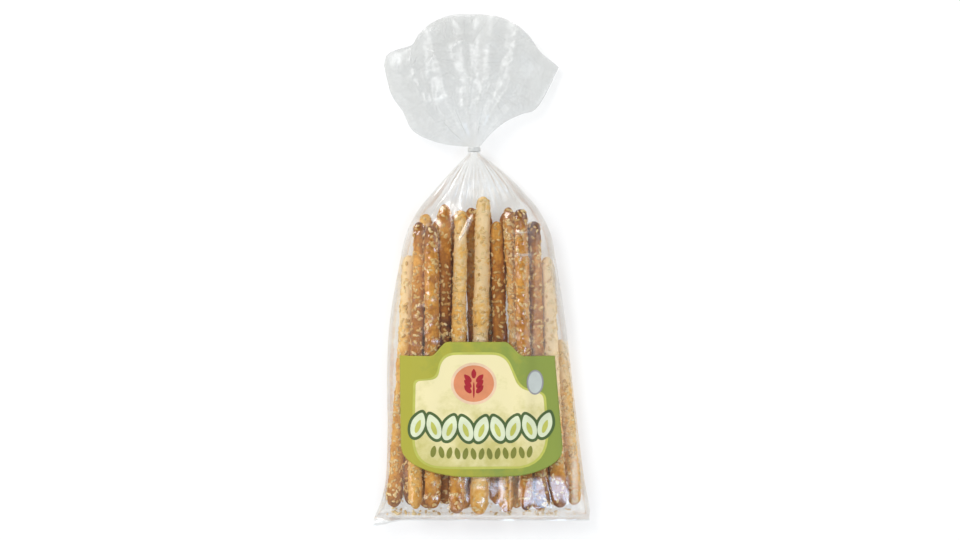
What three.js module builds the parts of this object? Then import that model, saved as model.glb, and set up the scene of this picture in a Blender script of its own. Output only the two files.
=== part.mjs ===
// A clear bag of breadsticks, tied at its neck and lying on its back with the label up.
//
// Millimetres. X runs across the bag, Y from its sealed edge to its gathered top, and Z up from
// the table. The origin is on the table, under the middle of the bag's outline.
// The bag is one solid out to its film. Its front shows the ridges of the breadsticks inside.

import * as THREE from 'three';

// ---- Driving dimensions ----

const FILM_FOLD = 0.8; // least thickness of the solid, where two layers of film lie together

const NECK_X = -4.8; // middle of the tied neck
const NECK_Z = 13;
const NECK_RADIUS = 3.5;
const NECK_START = 75.6; // the neck is straight between these two, under the tie
const NECK_END = 79.2;

const SEAL_ROOT = -161.4; // where the two layers of film meet, beyond the breadsticks' ends
const SEAL_EDGE = -163.4; // end of the welded edge
const EAR_DROP = 3.6; // how far the left corner of the seal reaches beyond that edge
const EAR_REACH = 0.6; // and to the side
const EAR_WIDTH = 20;

const RIDGE_CURVE = 8; // how steeply the film falls off at a breadstick's sides
const RIDGE_BLEND = 1.2; // how softly it leaves the breadstick
const RIDGE_TIP = 9; // length over which a ridge runs out at a breadstick's end
const RIDGE_DROP = 16; // how far it falls over that length
const SHOULDER_PLEAT = 1.5; // depth of the pleats that gather the film to the neck
const PLEATS = 8; // across each layer of film

const TAIL_PUFF = 9; // how far the flared top's front layer stands off its back layer
const TAIL_MOUTH = 2.6; // half the gap between the two layers at their free edge
const TAIL_WAVE = 4.2; // height of the broad waves at the free edge
const TAIL_PLEAT = 1.7;

const LABEL_HALF_WIDTH = 51.6;
const LABEL_SPREAD = 0.027; // share by which its lower edge is wider, and its upper edge narrower
const LABEL_MIDDLE_LOW = 1; // the label leans a little with the bag
const LABEL_MIDDLE_HIGH = -2.9;
const LABEL_BOTTOM = -134;
const LABEL_SHOULDER = -56; // top edge at the two sides
const LABEL_ARCH_RISE = 9; // the arched middle of the top edge above that
const LABEL_ARCH_FLAT = 19; // half width of the arch's flat top
const LABEL_ARCH_FOOT = 31; // half width of the arch's foot
const LABEL_CORNER = new THREE.Vector2(44, 19); // elliptical lower corners
const LABEL_GAP = 0.5;
const LABEL_THICKNESS = 0.7;

const TIE_WIDTH = 2.6;
const TIE_INNER = 3.9;
const TIE_OUTER = 4.6;

const SPANS = 44; // faces across each layer of film
const LABEL_COLUMNS = 34;
const LABEL_ROWS = 12;

// Sections of the filled bag, from the seal to the neck: place, half width, middle, height of the
// crest of the film between breadsticks, height of the side folds, height of the underside, and
// squareness of the crown.
const SECTIONS = [
  [SEAL_ROOT, 70.0, 0.2, 10.2, 9.2, 8.4, 6.0],
  [-161.0, 69.9, 0.4, 14.0, 9.2, 4.5, 6.0],
  [-160.0, 69.7, 0.7, 18.5, 9.2, 1.6, 5.6],
  [-157.5, 69.2, 1.3, 22.0, 9.2, 0.0, 5.0],
  [-150.0, 67.3, 2.2, 23.0, 9.2, 0.0, 4.6],
  [-137.0, 64.6, 2.3, 23.4, 9.4, 0.0, 4.3],
  [-105.0, 62.0, 0.8, 23.6, 9.8, 0.0, 3.8],
  [-65.0, 59.8, -1.6, 23.8, 10.2, 0.0, 3.3],
  [-33.0, 57.0, -2.6, 24.0, 10.6, 0.0, 3.3],
  [5.0, 50.7, -2.3, 24.2, 11.2, 0.0, 3.3],
  [24.0, 46.5, -2.0, 24.4, 11.6, 0.0, 3.1],
  [39.7, 38.2, -2.0, 24.6, 12.2, 0.0, 2.8],
  [47.5, 31.6, -2.1, 24.2, 12.6, 1.0, 2.6],
  [55.0, 25.0, -2.3, 23.0, 13.0, 2.6, 2.4],
  [63.0, 17.2, -2.9, 21.0, 13.0, 4.8, 2.2],
  [70.9, 8.6, -3.9, 18.4, 13.0, 7.2, 2.0],
  [NECK_START, NECK_RADIUS, NECK_X, NECK_Z + NECK_RADIUS, NECK_Z, NECK_Z - NECK_RADIUS, 2.0],
  [NECK_END, NECK_RADIUS, NECK_X, NECK_Z + NECK_RADIUS, NECK_Z, NECK_Z - NECK_RADIUS, 2.0],
];

// Breadsticks that press on the front film: x at the seal end, x at the neck end, the places of
// both tips along Y, the diameter, and the height of the film on it at both ends.
const FRONT_STICKS = [
  [-56.9, -48.4, -155.5, 9.0, 10.4, 13, 12],
  [-42.5, -40.0, -155.5, 30.5, 10.4, 24, 21],
  [-32.0, -32.2, -155.0, 28.0, 11.6, 25, 26],
  [-16.9, -14.6, -158.0, 38.0, 11.2, 26, 26],
  [-1.6, 1.6, -159.0, 47.0, 12.8, 27, 24],
  [17.0, 9.8, -157.5, 31.0, 10.2, 23, 20],
  [28.4, 24.4, -156.0, 38.5, 9.8, 25, 29.3],
  [39.8, 33.6, -155.0, 31.0, 10.2, 23, 20],
  [50.8, 42.2, -154.5, 8.0, 11.0, 24, 19],
  [60.1, 51.7, -154.0, -46.0, 10.4, 13, 12],
];

// The flared top, seen from above: its two side folds from the neck, and its free edge.
const LEFT_FOLD = [[-8.3, 79.2], [-27.6, 81.9], [-44.5, 89.7], [-51.0, 102.0], [-58.8, 113.8],
  [-63.4, 132.0]];
const RIGHT_FOLD = [[-1.3, 79.2], [6.5, 88.2], [15.6, 95.6], [25.4, 100.4], [34.4, 103.4],
  [41.0, 112.4], [50.4, 131.6]];
const FREE_EDGE = [[-63.4, 132.0], [-61.4, 139.1], [-54.9, 142.7], [-45.2, 145.7], [-41.3, 151.8],
  [-32.2, 160.7], [-19.2, 166.4], [-2.3, 166.7], [15.3, 162.6], [29.6, 153.0], [38.7, 141.2],
  [45.2, 136.0], [50.4, 131.6]];

// ---- Small tools ----

const { clamp, lerp, smoothstep } = THREE.MathUtils;
const range = (count) => [...Array(count).keys()];

// The row of values at a place along a table's first column, on a smooth curve through its rows.
function alongTable(table, place) {
  const at = clamp(place, table[0][0], table.at(-1)[0]);
  const next = clamp(table.findIndex((row) => row[0] >= at), 1, table.length - 1);
  const [before, after] = [table[next - 1], table[next]];
  const [first, last] = [table[Math.max(next - 2, 0)], table[Math.min(next + 1, table.length - 1)]];
  const span = after[0] - before[0];
  const t = (at - before[0]) / span;
  return before.slice(1).map((low, index) => {
    const column = index + 1;
    const high = after[column];
    const slopeIn = ((high - first[column]) / (after[0] - first[0])) * span;
    const slopeOut = ((last[column] - low) / (last[0] - before[0])) * span;
    const cubic = low + t * (slopeIn + t * (3 * (high - low) - 2 * slopeIn - slopeOut
      + t * (2 * (low - high) + slopeIn + slopeOut)));
    return clamp(cubic, Math.min(low, high), Math.max(low, high));
  });
}

const outline = (points) => new THREE.CatmullRomCurve3(
  points.map(([x, y]) => new THREE.Vector3(x, y, 0)), false, 'centripetal');

// A closed solid through a row of rings. Each ring has a front line of points from left to right
// and a back line under it.
function loft(rings) {
  const width = rings[0].front.length;
  const points = rings.flatMap(({ front, back }) => [...front, ...back.toReversed()]);
  const around = 2 * width;
  const faces = [];
  const quad = (a, b, c, d) => faces.push(a, b, d, b, c, d);
  for (const k of range(rings.length - 1)) {
    for (const i of range(around)) {
      const j = (i + 1) % around;
      quad(k * around + i, k * around + j, (k + 1) * around + j, (k + 1) * around + i);
    }
  }
  const end = (rings.length - 1) * around;
  for (const i of range(width - 1)) {
    quad(i + 1, i, around - 1 - i, around - 2 - i);
    quad(end + i, end + i + 1, end + around - 2 - i, end + around - 1 - i);
  }
  return new THREE.BufferGeometry().setFromPoints(points).setIndex(faces);
}

// ---- The filled bag ----

const across = (v) => lerp(-Math.cos(Math.PI * v), 2 * v - 1, 0.65);
const pleat = (v) => Math.cos(2 * Math.PI * PLEATS * v);

// How far the breadsticks lift the front film above the height at which it spans them.
function ridges(x, y, blanket) {
  const lift = (stick) => {
    const [xLow, xHigh, yLow, yHigh, diameter, topLow, topHigh] = stick;
    const share = (y - yLow) / (yHigh - yLow);
    const offset = (x - lerp(xLow, xHigh, share)) / diameter;
    const past = Math.max(0, Math.max(yLow - y, y - yHigh) / RIDGE_TIP + 1);
    const height = lerp(topLow, topHigh, share) - RIDGE_CURVE * offset ** 2 - RIDGE_DROP * past ** 2;
    return Math.exp((height - blanket) / RIDGE_BLEND);
  };
  return RIDGE_BLEND * Math.log(FRONT_STICKS.reduce((sum, stick) => sum + lift(stick), 1));
}

// Height of the front film, and of the back film under it.
function filmHeights(x, y) {
  const [half, middle, crest, side, under, squareness] = alongTable(SECTIONS, y);
  const s = clamp(Math.abs(x - middle) / half, 0, 1);
  const v = (x - middle) / half / 2 + 0.5;
  const crown = (1 - s ** squareness) ** lerp(1, 0.5, smoothstep(y, 50, NECK_START));
  const gather = smoothstep(y, 12, 50) * clamp((half - NECK_RADIUS) / 14, 0, 1);
  const pleats = SHOULDER_PLEAT * gather * pleat(v) * crown;
  const blanket = side + (crest - side) * crown;
  const front = blanket + ridges(x, y, blanket) * Math.sqrt(crown) + pleats;
  const depth = (1 - s ** (2 + 8 * (1 - smoothstep(y, 20, NECK_START)))) ** 0.5;
  const flatness = 1.5 * (1 - smoothstep(y, 30, 50));
  const back = Math.max(under, side - (side - under + flatness) * depth) + 0.5 * Math.abs(pleats);
  return [Math.max(front, side + FILM_FOLD / 2), Math.min(back, side - FILM_FOLD / 2)];
}

function bodyRing(y) {
  const [half, middle] = alongTable(SECTIONS, y);
  const line = range(SPANS + 1).map((i) => {
    const x = middle + half * across(i / SPANS);
    return { x, heights: filmHeights(x, y) };
  });
  return {
    front: line.map(({ x, heights }) => new THREE.Vector3(x, y, heights[0])),
    back: line.map(({ x, heights }) => new THREE.Vector3(x, y, heights[1])),
  };
}

// The welded edge, which sticks out further at the left corner.
function sealRing() {
  const { front, back } = bodyRing(SEAL_ROOT);
  const moved = (point) => {
    const ear = smoothstep(-point.x, 70 - EAR_WIDTH, 70);
    return new THREE.Vector3(point.x - EAR_REACH * ear, SEAL_EDGE - EAR_DROP * ear, point.z);
  };
  return { front: front.map(moved), back: back.map(moved) };
}

// The flared top: rays run from the neck to the free edge, between the two side folds.
const leftFold = outline(LEFT_FOLD);
const rightFold = outline(RIGHT_FOLD);
const freeEdge = outline(FREE_EDGE);

function tailPoint(reach, v) {
  const edge = freeEdge.getPointAt(v);
  const neck = new THREE.Vector3(NECK_X + NECK_RADIUS * across(v), NECK_END, 0);
  const point = neck.lerp(edge, reach);
  for (const [fold, share] of [[leftFold, (1 - v) ** 2], [rightFold, v ** 2]]) {
    const straight = fold.getPointAt(0).lerp(fold.getPointAt(1), reach);
    point.add(fold.getPointAt(reach).sub(straight).multiplyScalar(share));
  }
  return point;
}

function tailRing(reach) {
  const line = range(SPANS + 1).map((i) => {
    const v = i / SPANS;
    const point = tailPoint(reach, v);
    const arch = Math.sqrt(1 - across(v) ** 2);
    const middle = NECK_Z - 3.4 * reach
      + TAIL_WAVE * reach ** 1.5 * Math.sin(2 * Math.PI * (1.6 * v + 0.05));
    const gathered = NECK_RADIUS * (1 - reach);
    const puff = TAIL_PUFF * Math.sin(Math.PI * reach ** 0.8);
    const mouth = TAIL_MOUTH * reach;
    const folds = TAIL_PLEAT * pleat(v) * Math.sin(Math.PI * Math.min(1, reach * 1.6) / 2);
    const front = middle + arch * (gathered + puff + mouth + folds);
    const back = middle - arch * (gathered + 0.3 * puff + mouth - 0.5 * folds);
    return {
      front: new THREE.Vector3(point.x, point.y, Math.max(front, middle + FILM_FOLD / 2)),
      back: new THREE.Vector3(point.x, point.y, Math.max(0.3, Math.min(back, middle - FILM_FOLD / 2))),
    };
  });
  return { front: line.map(({ front }) => front), back: line.map(({ back }) => back) };
}

function bag() {
  const endFace = [SEAL_ROOT, -161.0, -160.3, -159.0, -157.0, -154.0];
  const body = range(22).map((i) => lerp(-149, 24, i / 21));
  const shoulders = [31, 37.5, 43, 48, 53, 57.5, 62, 66, 70, 73.2, NECK_START, NECK_END];
  const tail = [0.04, 0.09, 0.15, 0.22, 0.3, 0.39, 0.48, 0.57, 0.66, 0.75, 0.84, 0.92, 1];
  return loft([sealRing(), ...[...endFace, ...body, ...shoulders].map(bodyRing), ...tail.map(tailRing)]);
}

// ---- The label, a thin skin on the front film ----

function labelRing(row) {
  const line = range(LABEL_COLUMNS + 1).map((i) => {
    const offset = LABEL_HALF_WIDTH * (2 * (i / LABEL_COLUMNS) - 1);
    const fromCorner = clamp((Math.abs(offset) - LABEL_HALF_WIDTH + LABEL_CORNER.x) / LABEL_CORNER.x, 0, 1);
    const low = LABEL_BOTTOM + LABEL_CORNER.y * (1 - Math.sqrt(1 - fromCorner ** 2));
    const arch = 1 - smoothstep(Math.abs(offset), LABEL_ARCH_FLAT, LABEL_ARCH_FOOT);
    const high = LABEL_SHOULDER + LABEL_ARCH_RISE * arch;
    const y = lerp(low, high, row / LABEL_ROWS);
    const share = (y - LABEL_BOTTOM) / (LABEL_SHOULDER - LABEL_BOTTOM);
    const spread = 1 + LABEL_SPREAD * (1 - 2 * share);
    const x = lerp(LABEL_MIDDLE_LOW, LABEL_MIDDLE_HIGH, share) + offset * spread;
    return new THREE.Vector3(x, y, filmHeights(x, y)[0] + LABEL_GAP);
  });
  const raised = line.map((point) => point.clone().setZ(point.z + LABEL_THICKNESS));
  return { front: raised, back: line };
}

// ---- The tie, a narrow band round the neck ----

function tie() {
  const edge = 0.3;
  const profile = [
    [TIE_INNER, 0], [TIE_OUTER - edge, 0], [TIE_OUTER, edge], [TIE_OUTER, TIE_WIDTH - edge],
    [TIE_OUTER - edge, TIE_WIDTH], [TIE_INNER, TIE_WIDTH], [TIE_INNER, 0],
  ].map(([radius, height]) => new THREE.Vector2(radius, height - TIE_WIDTH / 2));
  return new THREE.LatheGeometry(profile, 40);
}

// ---- Colours, and the whole ----

const film = new THREE.MeshStandardMaterial({ color: 0xdcdcd6, roughness: 0.15, metalness: 0 });
const print = new THREE.MeshStandardMaterial({ color: 0x86a83c, roughness: 0.45, metalness: 0 });
const band = new THREE.MeshStandardMaterial({ color: 0xe6e6e2, roughness: 0.35, metalness: 0 });

function piece(name, geometry, material) {
  const mesh = new THREE.Mesh(geometry, material);
  mesh.name = name;
  return mesh;
}

const tieMesh = piece('tie', tie(), band);
tieMesh.position.set(NECK_X, (NECK_START + NECK_END) / 2, NECK_Z);

const model = new THREE.Group();
model.add(
  piece('bag', bag(), film),
  piece('label', loft(range(LABEL_ROWS + 1).map(labelRing)), print),
  tieMesh,
);

export default model;
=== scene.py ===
"""A clear tied bag of sesame breadsticks, lying on its back with the label up.

Sizes are in millimetres until a mesh is made, as the bag's form is worked out here from the same
named values as its solid. X runs across the bag, Y from its sealed edge to its flared top, and Z
up from the table. The breadsticks are settled into the bag first, the film is then drawn over
them, and the label lies on the film.
"""

import math
from types import SimpleNamespace

import bpy
import numpy as np
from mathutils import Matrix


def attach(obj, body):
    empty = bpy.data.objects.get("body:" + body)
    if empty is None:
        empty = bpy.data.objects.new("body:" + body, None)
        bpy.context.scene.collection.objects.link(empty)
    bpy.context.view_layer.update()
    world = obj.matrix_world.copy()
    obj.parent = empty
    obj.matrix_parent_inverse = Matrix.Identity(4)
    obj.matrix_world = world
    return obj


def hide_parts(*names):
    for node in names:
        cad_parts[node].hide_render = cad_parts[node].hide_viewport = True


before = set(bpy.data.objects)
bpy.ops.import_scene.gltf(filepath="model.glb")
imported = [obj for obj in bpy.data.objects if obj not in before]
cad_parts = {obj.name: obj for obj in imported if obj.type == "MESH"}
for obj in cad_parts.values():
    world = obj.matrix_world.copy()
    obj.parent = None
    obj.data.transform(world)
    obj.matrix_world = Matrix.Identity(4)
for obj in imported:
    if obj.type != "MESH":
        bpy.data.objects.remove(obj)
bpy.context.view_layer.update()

MM = 0.001
TURN = 2 * math.pi

# ---- The view ----

MM_PER_PIXEL = 0.65
FRAME_PIXELS = (960, 540)
VIEW_CENTRE = (-1.0, -0.65)  # what the middle of the picture looks at
VIEW_PLANE = 12  # height at which that scale holds
CAMERA_DISTANCE = 1400
SENSOR = 36
FLOOR_REACH, FLOOR_DROP = 3000, 0.3

# Name, place and size in metres, power in watts, colour. Each points at the middle of the bag.
LAMPS = [
    ("key", (-0.62, 0.66, 1.1), (0.68, 0.54), 10.8, (1, 1, 1)),
    ("fill", (-0.9, -0.5, 1.0), (0.6, 0.6), 3.2, (1, 1, 1)),
    ("low", (0.21, -0.46, 1.12), (0.3, 0.24), 2.9, (0.56, 0.74, 1.0)),
    ("side", (1.0, 0.1, 0.85), (0.9, 1.4), 4.4, (1, 1, 1)),
]

# ---- The bag's form, as in its solid ----

NECK_X, NECK_Z, NECK_RADIUS = -4.8, 13.0, 3.5
NECK_START, NECK_END = 75.6, 79.2
SEAL_ROOT, SEAL_EDGE = -161.4, -163.4
EAR_DROP, EAR_REACH, EAR_WIDTH = 3.6, 0.6, 20.0
RIDGE_CURVE, RIDGE_BLEND, RIDGE_TIP, RIDGE_DROP = 8.0, 1.2, 9.0, 16.0
SHOULDER_PLEAT, PLEATS = 1.5, 8
TAIL_PUFF, TAIL_MOUTH, TAIL_WAVE = 9.0, 2.6, 4.2
FOLD_HEIGHT = 9.2  # of the side folds at the seal

# Place, half width, middle, height of the crest, of the side folds and of the underside, and
# squareness of the crown.
SECTIONS = np.array([
    [SEAL_ROOT, 70.0, 0.2, 10.2, FOLD_HEIGHT, 8.4, 6.0],
    [-161.0, 69.9, 0.4, 14.0, FOLD_HEIGHT, 4.5, 6.0],
    [-160.0, 69.7, 0.7, 18.5, FOLD_HEIGHT, 1.6, 5.6],
    [-157.5, 69.2, 1.3, 22.0, FOLD_HEIGHT, 0.0, 5.0],
    [-150.0, 67.3, 2.2, 23.0, FOLD_HEIGHT, 0.0, 4.6],
    [-137.0, 64.6, 2.3, 23.4, 9.4, 0.0, 4.3],
    [-105.0, 62.0, 0.8, 23.6, 9.8, 0.0, 3.8],
    [-65.0, 59.8, -1.6, 23.8, 10.2, 0.0, 3.3],
    [-33.0, 57.0, -2.6, 24.0, 10.6, 0.0, 3.3],
    [5.0, 50.7, -2.3, 24.2, 11.2, 0.0, 3.3],
    [24.0, 46.5, -2.0, 24.4, 11.6, 0.0, 3.1],
    [39.7, 38.2, -2.0, 24.6, 12.2, 0.0, 2.8],
    [47.5, 31.6, -2.1, 24.2, 12.6, 1.0, 2.6],
    [55.0, 25.0, -2.3, 23.0, 13.0, 2.6, 2.4],
    [63.0, 17.2, -2.9, 21.0, 13.0, 4.8, 2.2],
    [70.9, 8.6, -3.9, 18.4, 13.0, 7.2, 2.0],
    [NECK_START, NECK_RADIUS, NECK_X, NECK_Z + NECK_RADIUS, NECK_Z, NECK_Z - NECK_RADIUS, 2.0],
    [NECK_END, NECK_RADIUS, NECK_X, NECK_Z + NECK_RADIUS, NECK_Z, NECK_Z - NECK_RADIUS, 2.0],
])

# The flared top, seen from above: its two side folds from the neck, and its free edge.
LEFT_FOLD = [(-8.3, 79.2), (-27.6, 81.9), (-44.5, 89.7), (-51.0, 102.0), (-58.8, 113.8),
             (-63.4, 132.0)]
RIGHT_FOLD = [(-1.3, 79.2), (6.5, 88.2), (15.6, 95.6), (25.4, 100.4), (34.4, 103.4),
              (41.0, 112.4), (50.4, 131.6)]
FREE_EDGE = [(-63.4, 132.0), (-61.4, 139.1), (-54.9, 142.7), (-45.2, 145.7), (-41.3, 151.8),
             (-32.2, 160.7), (-19.2, 166.4), (-2.3, 166.7), (15.3, 162.6), (29.6, 153.0),
             (38.7, 141.2), (45.2, 136.0), (50.4, 131.6)]

# ---- The breadsticks ----

# x at the seal end and at the neck end, place of both tips along Y, diameter at the seal end,
# height of its top at both ends, diameter at the neck end, how brown it is at BROWN_PLACES, and
# how much browner its tip. The browning is partly the crust's own and partly painted light and
# shade: a breadstick that lies in shadow is darkened, and one in shade that shows pale is lightened.
FRONT_STICKS = [
    (-56.9, -48.4, -155.5, 9.0, 10.4, 13, 12, 9.4, 0.53, 0.28, 0.04, -0.15, 0.15),
    (-42.5, -40.0, -155.5, 30.5, 10.4, 24, 21, 8.8, 0.16, 0.72, 0.46, 0.34, 0.50),
    (-32.0, -32.2, -155.0, 28.0, 11.6, 25, 26, 9.6, 0.38, 0.58, 0.42, 0.38, 0.55),
    (-16.9, -14.6, -158.0, 38.0, 11.2, 26, 26, 9.0, 0.50, 0.26, 0.12, -0.02, 0.36),
    (-1.6, 1.6, -159.0, 47.0, 12.8, 27, 24, 10.0, 0.14, 0.14, -0.02, -0.06, 0.26),
    (17.0, 9.8, -157.5, 31.0, 10.2, 23, 20, 9.0, 0.24, 0.65, 0.78, 0.34, 0.05),
    (28.4, 24.4, -156.0, 38.5, 9.8, 25, 29.3, 9.4, 0.60, 0.56, 0.46, 0.44, 0.80),
    (39.8, 33.6, -155.0, 31.0, 10.2, 23, 20, 9.0, 0.70, 0.64, 0.60, 0.60, 0.35),
    (50.8, 42.2, -154.5, 8.0, 11.0, 24, 19, 9.0, 0.62, -0.16, -0.08, -0.28, 0.05),
    (60.1, 51.7, -154.0, -46.0, 10.4, 13, 12, 9.6, 0.26, 0.05, 0.00, -0.05, 0.10),
]
BACK_STICKS = [
    (-47.0, -37.0, -154.0, 36.0, 10.8, 12, 12, 9.6, 0.75, 0.40, 0.20, 0.10, 0.30),
    (-36.0, -26.0, -156.0, 33.0, 11.4, 12, 12, 10.0, 0.40, 0.30, 0.30, 0.26, 0.60),
    (-21.0, -26.5, -153.0, 42.0, 10.8, 15, 22, 9.0, 0.56, 0.84, 0.66, 0.30, 0.40),
    (-12.0, -15.0, -156.5, 36.0, 11.6, 12, 12, 10.4, 0.22, 0.22, 0.22, 0.22, 0.40),
    (1.0, -5.6, -154.0, 40.0, 11.2, 12, 15, 9.4, 0.46, 0.36, 0.32, 0.28, 0.50),
    (11.0, -2.8, -153.5, 37.0, 11.6, 12, 12, 10.0, 0.40, 0.34, 0.30, 0.28, 0.70),
    (19.5, 16.6, -62.0, 40.0, 8.0, 16, 16, 7.6, 0.40, 0.40, 0.40, 0.40, 0.35),
    (23.0, 23.0, -156.0, -71.0, 10.8, 12, 12, 10.0, 0.24, 0.24, 0.24, 0.24, 0.10),
    (35.0, 10.5, -157.0, 37.0, 11.6, 12, 12, 10.0, 0.30, 0.30, 0.30, 0.30, 0.55),
    (47.0, 26.0, -154.5, 31.0, 11.4, 12, 12, 9.8, 0.40, 0.40, 0.40, 0.40, 0.45),
]
BROWN_PLACES = (0.05, 0.60, 0.78, 0.97)  # shares of a breadstick's length
BROWN_SEAL_TIP = 0.35
TIP_LENGTH, SEAL_TIP_LENGTH = 11, 6  # how far a tip's taper and browning reach
STICK_ROWS, CAP_ROWS, STICK_COLUMNS = 180, 9, 40
SKIN_DEPTH = 0.25  # the skin's mean depth under the full radius

SETTLE_STEPS, SETTLE_PASSES = 2600, 3
SINK = 0.06  # a step, at first
PUSH = 0.15  # share of an overlap that is taken away at once
FRONT_PULL, BACK_PULL = 0.08, 0.03
TABLE_GAP, SIDE_GAP = 1.1, 0.4  # between the breadsticks and the table, or the bag's side folds

SEEDS_PER_STICK = 400
SEED_SIZE = (3.1, 1.8, 0.95)  # length, width, thickness
CRUMBS, LOOSE_SEEDS = 45, 50
CRUMB_SIZE = (1.2, 1.0, 0.8)

# ---- The film ----

GRID_STEP = (0.8, 0.9)  # along X and Y, of the grid that the front film is worked out on
GRID_X = np.arange(-72, 72.1, GRID_STEP[0])
GRID_Y = np.arange(-161, 61, GRID_STEP[1])
DRAPE_STEPS = 260
FILM_GAP = 0.25  # over what it lies on
FILM_SINK, FILM_RISE = 3, 0.5  # how far it may leave the solid's film
TAUT_ACROSS = 0.55  # share of the pull that runs across the bag
FILM_SAG = 0.004  # a step
CORNER = (39.0, -146.0, 27.3)  # top of the loose bulge in the film at the right corner
CORNER_CURVE = 700
CORNER_GROOVES = [(24.2, 0.22), (44.0, -0.24)]  # where the film sinks between breadsticks, and leans
GROOVE_DEPTH, GROOVE_WIDTH = 0.4, 1.4
SHARP_ANGLE = math.radians(50)
MOST_REFLECTED = 0.45  # even at a glancing angle
# The crease veil is partly the real whitening of creased film and partly painted glints, painted glare
# and painted shade.
CREASE_VEIL_AND_PAINTED_GLINT = 0.6  # how much a sharp crease veils what lies under it

# middle, angle from +X, length, width, height of the creases that show best
CREASES = [
    ((-10.7, 24.7), 63, 30, 1.1, 1.3), ((25.7, 23.4), 4, 24, 0.9, 1.0),
    ((26.3, 9.1), -3, 26, 0.9, 1.0), ((-52, -140), 62, 38, 1.2, 0.4),
    ((-44, -150), 38, 34, 1.1, 0.4), ((55, -142), 118, 36, 1.2, 0.7),
    ((45, -152), 146, 34, 1.1, 0.6), ((-27, 44), 58, 30, 1.0, 0.6), ((22, 46), 124, 30, 1.0, 0.6),
]
# the same for the flared top: their upper left sides catch the key lamp, and the veil is cleared along
# them as a painted glint
TAIL_CREASES = [
    ((1.0, 100.8), 68, 26, 2.0, 0.9), ((-29.0, 109.0), 14, 26, 1.8, 0.7),
    ((30.5, 129.5), 76, 16, 3.4, 1.5), ((4.2, 145.4), 30, 14, 1.8, 0.8),
    ((-34.5, 127.0), 74, 15, 2.6, 0.9), ((-54.5, 133.5), 80, 14, 2.4, 0.9),
    ((13.0, 140.5), 24, 9, 1.6, 0.7), ((21.0, 115.0), 58, 17, 1.6, 0.5),
    ((-14.0, 98.0), 118, 17, 1.3, 0.5),
]
LOOSE_CREASES, TAIL_TENTS = 46, 210
BODY_STEP, TAIL_ROWS = 0.8, 150
BODY_COLUMNS, TAIL_COLUMNS = (201, 81), (261, 161)  # over the front layer and the back one

# ---- The label ----

LABEL_HALF_WIDTH, LABEL_SPREAD = 51.6, 0.027  # the spread widens it below and narrows it above
LABEL_MIDDLE_LOW, LABEL_MIDDLE_HIGH = 1.0, -2.9
LABEL_BOTTOM, LABEL_SHOULDER = -134.0, -56.0
LABEL_ARCH_RISE, LABEL_ARCH_FLAT, LABEL_ARCH_FOOT = 9.0, 19.0, 31.0
LABEL_AXIS = -0.8  # x about which its arch and corners are alike
LABEL_CORNER = (44.0, 19.0)
LABEL_LIFT, LABEL_THICKNESS, INK = 0.5, 0.25, 0.06
LABEL_COLUMNS, LABEL_ROWS = 104, 76
PRINT_STEP = 1.6  # between the rings of points in a printed shape

PANEL_CENTRE = np.array([-2.0, -95.0])
PANEL_BORDER = 1.7
# x, y and corner radius of the pale panel, from its lower left corner and anticlockwise
PANEL = [
    (-43.5, -127.2, 19), (43.3, -127.2, 25), (39.8, -80.5, 4), (24.0, -77.0, 6),
    (15.0, -55.3, 8.5), (-25.5, -55.3, 9.6), (-28.0, -71.0, 5), (-42.5, -72.5, 3),
]
ROW_RADIUS = 330  # the rows of shapes lie on a wide arc
SEED_ROW, DOT_ROW = -103, -119
EMBLEM = (-5.0, -73.8)
SPOT = (34.5, -73.0)
INK_COLOURS = {
    "lime": (0.47, 0.48, 0.10), "leaf": (0.075, 0.12, 0.04), "white": (0.66, 0.71, 0.50),
    "olive": (0.20, 0.21, 0.04), "salmon": (0.66, 0.25, 0.12), "rose": (0.78, 0.56, 0.38),
    "red": (0.36, 0.020, 0.03), "lavender": (0.50, 0.54, 0.52), "grey": (0.30, 0.29, 0.30),
}

# ---- The tie ----

TIE_TURNS, TIE_STEPS = 1.18, 96
TIE_INNER, TIE_LAP = 3.85, 0.35  # its radius, and how much larger where it laps itself
TIE_HALF_WIDTH, TIE_START = 1.3, 0.6


# ---- Numbers ----

def smoothstep(value, low, high):
    t = np.clip((value - low) / (high - low), 0, 1)
    return t * t * (3 - 2 * t)


def between(value, rise, fall):
    """Rises from 0 to 1 over the first span, and falls back to 0 over the second."""
    return smoothstep(value, *rise) * (1 - smoothstep(value, *fall))


def lerp(a, b, t):
    return a + (b - a) * t


def unit(vectors):
    return vectors / np.linalg.norm(vectors, axis=-1, keepdims=True)


def rotated(x, y, turn):
    return x * np.cos(turn) - y * np.sin(turn), x * np.sin(turn) + y * np.cos(turn)


def noise(points, seed):
    """Smooth noise between about -1 and 1 at an array of points, with cells one unit wide."""
    draw = np.random.default_rng(seed)
    slopes = unit(draw.normal(size=(256, 3)))
    shuffle = draw.permutation(256)
    cell = np.floor(points).astype(int)
    part = points - cell
    fade = part ** 3 * (part * (part * 6 - 15) + 10)
    total = np.zeros(points.shape[:-1])
    for corner in np.ndindex(2, 2, 2):
        pick = 0
        for place in np.moveaxis(cell + corner, -1, 0):
            pick = shuffle[(pick + place) & 255]
        weight = np.prod(np.where(corner, fade, 1 - fade), axis=-1)
        total += weight * np.sum(slopes[pick] * (part - corner), axis=-1)
    return 1.6 * total


def flat_noise(x, y, size, seed):
    """The same over a plane, with cells of a size in millimetres."""
    x, y = np.broadcast_arrays(x, y)
    return noise(np.stack([x / size, y / size, np.full(x.shape, 0.37)], axis=-1), seed)


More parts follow.
